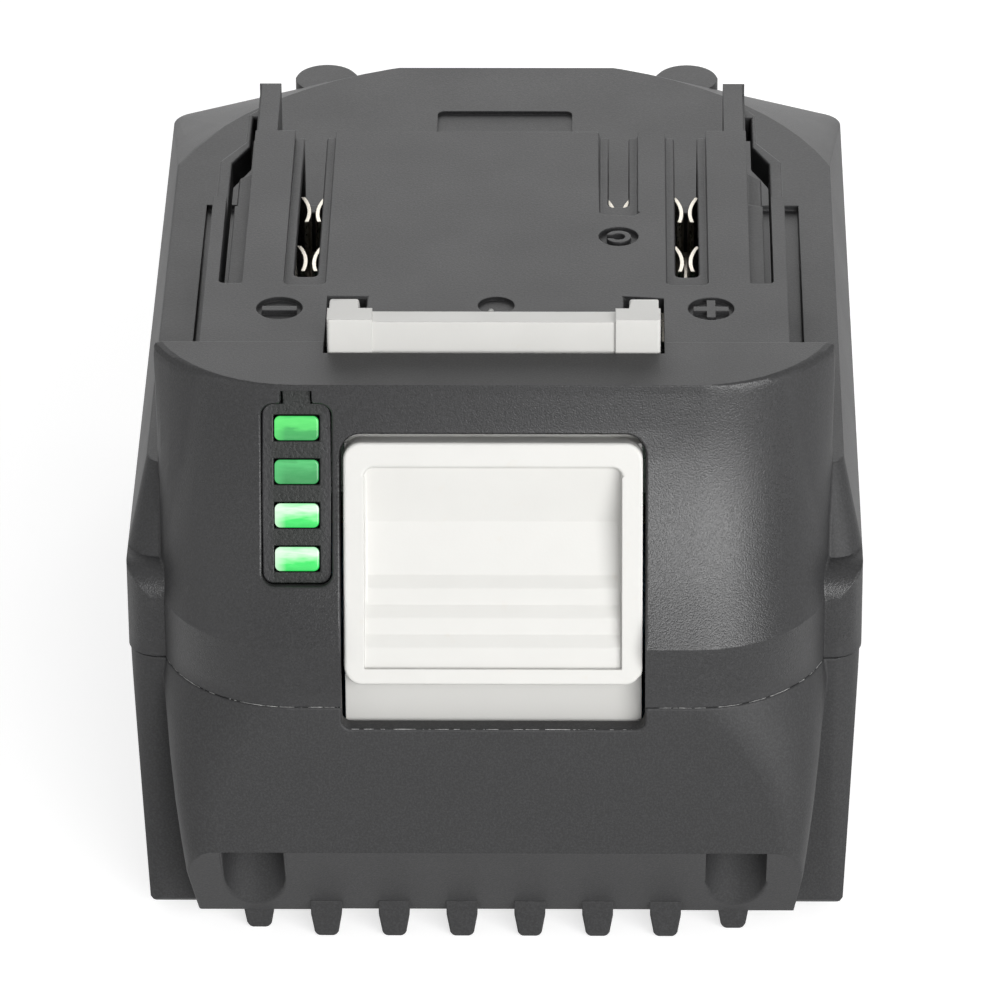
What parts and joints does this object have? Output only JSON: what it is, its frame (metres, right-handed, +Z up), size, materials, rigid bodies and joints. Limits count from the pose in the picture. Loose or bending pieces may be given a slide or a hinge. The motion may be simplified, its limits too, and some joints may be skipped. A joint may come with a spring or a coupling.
{
  "type": "power tool battery pack",
  "caption": "Slide-on battery pack with a ribbed black case, rail platform with slotted terminals, sprung white release latch and a press-to-check charge gauge.",
  "frame": {"origin": "middle of the outline, on the plane of the bottom ribs", "axes": "+Z up, -Y towards the nose with the latch and gauge, +Y towards the end that goes onto the tool first, +X to the right seen from the nose"},
  "size_m": [0.0758, 0.113, 0.0677],
  "materials": {
    "case_black": "fine textured black",
    "latch_white": "satin white",
    "spring_steel": "drawn wire",
    "key_black": "grained gloss",
    "light_green": "clear, lit green",
    "board_green": "solder mask",
    "led_body": "white package",
    "part_dark": "moulded package",
    "cable_grey": "flat cable",
    "fuse_cream": "ceramic package",
    "block_grey": "plain",
    "contact_nickel": "nickel plated",
    "holder_grey": "plain",
    "sheet_paper": "insulating paper",
    "pad_foam": "closed foam",
    "screw_steel": "blackened",
    "cell_sleeve": "shrink sleeve",
    "strap_nickel": "nickel strip"
  },
  "bodies": {
    "case": {"lower_case": "case_black", "upper_case": "case_black", "latch_springs": "spring_steel", "gauge_board": "board_green", "gauge_leds": "led_body", "check_switch": "part_dark", "gauge_cable": "cable_grey", "main_board": "board_green", "controller_chip": "part_dark", "power_transistors": "part_dark", "main_fuse": "fuse_cream", "sense_resistor": "part_dark", "terminal_block": "block_grey", "terminal_negative": "contact_nickel", "terminal_positive": "contact_nickel", "terminal_signal": "contact_nickel", "cell_holder_left": "holder_grey", "cell_holder_right": "holder_grey", "insulation_sheet": "sheet_paper", "base_pad": "pad_foam", "case_screws": "screw_steel", "cell_1": "cell_sleeve", "cell_2": "cell_sleeve", "cell_3": "cell_sleeve", "cell_4": "cell_sleeve", "cell_5": "cell_sleeve", "cell_6": "cell_sleeve", "cell_7": "cell_sleeve", "cell_8": "cell_sleeve", "cell_9": "cell_sleeve", "cell_10": "cell_sleeve", "strap_left_1": "strap_nickel", "strap_left_2": "strap_nickel", "strap_left_3": "strap_nickel", "strap_right_1": "strap_nickel", "strap_right_2": "strap_nickel", "strap_right_3": "strap_nickel"},
    "latch": {"release_latch": "latch_white"},
    "gauge": {"gauge_key": "key_black", "light_bars": "light_green"}
  },
  "joints": [
    {"name": "latch_slide", "type": "slide", "parent": "case", "child": "latch", "axis": [0, 0, -1], "range_m": [0, 0.005], "stiffness_N_per_m": 1200, "springref_m": -0.004, "deforming": ["latch_springs"]},
    {"name": "gauge_press", "type": "slide", "parent": "case", "child": "gauge", "axis": [0, 0.9375, -0.3479], "range_m": [0, 0.0006], "stiffness_N_per_m": 2500, "springref_m": -0.0004}
  ]
}
